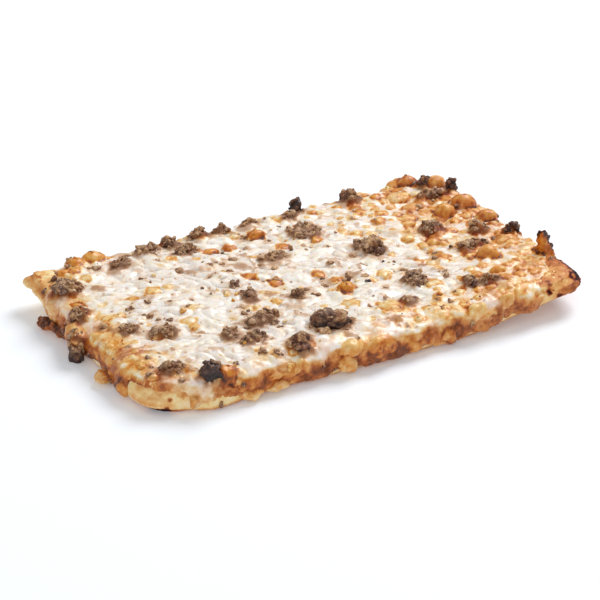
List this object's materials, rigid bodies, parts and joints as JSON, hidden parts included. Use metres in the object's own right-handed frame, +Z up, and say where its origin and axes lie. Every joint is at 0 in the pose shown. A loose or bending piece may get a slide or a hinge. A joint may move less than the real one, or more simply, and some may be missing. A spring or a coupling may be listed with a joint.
{
  "type": "barbecue focaccia",
  "caption": "Flat rectangular focaccia slab under melted, partly browned cheese with crumbs of minced meat; two corners curl up.",
  "frame": {"origin": "middle of the bounding box at the height of the flat underside", "axes": "+X along the slab, +Y from its front long side to its back, +Z up"},
  "size_m": [0.224, 0.1344, 0.028],
  "materials": {
    "dough": "baked dough, matt with a faint sheen",
    "cheese": "melted cheese, greasy and half glossy",
    "crisp_cheese": "crisp browned cheese",
    "meat": "cooked minced meat, moist and rough",
    "charred_meat": "charred minced meat"
  },
  "bodies": {
    "root": {"bread_base": "dough", "cheese_layer": "cheese", "cheese_crisp": "crisp_cheese", "meat_crumb_01": "meat", "meat_crumb_02": "meat", "meat_crumb_03": "meat", "meat_crumb_04": "meat", "meat_crumb_05": "meat", "meat_crumb_06": "charred_meat", "meat_crumb_07": "meat", "meat_crumb_08": "meat", "meat_crumb_09": "meat", "meat_crumb_10": "meat", "meat_crumb_11": "meat", "meat_crumb_12": "meat", "meat_crumb_13": "meat", "meat_crumb_14": "meat", "meat_crumb_15": "meat", "meat_crumb_16": "meat", "meat_crumb_17": "charred_meat", "meat_crumb_18": "meat", "meat_crumb_19": "meat", "meat_crumb_20": "meat", "meat_crumb_21": "meat", "meat_crumb_22": "meat", "meat_crumb_23": "meat", "meat_crumb_24": "meat", "meat_crumb_25": "meat", "meat_crumb_26": "meat", "meat_crumb_27": "meat", "meat_crumb_28": "meat", "meat_crumb_29": "meat", "meat_crumb_30": "meat", "meat_crumb_31": "meat", "meat_crumb_32": "meat", "meat_crumb_33": "meat", "meat_crumb_34": "meat", "meat_crumb_35": "charred_meat", "meat_crumb_36": "charred_meat", "meat_crumb_37": "charred_meat", "meat_crumb_38": "meat"}
  },
  "joints": []
}
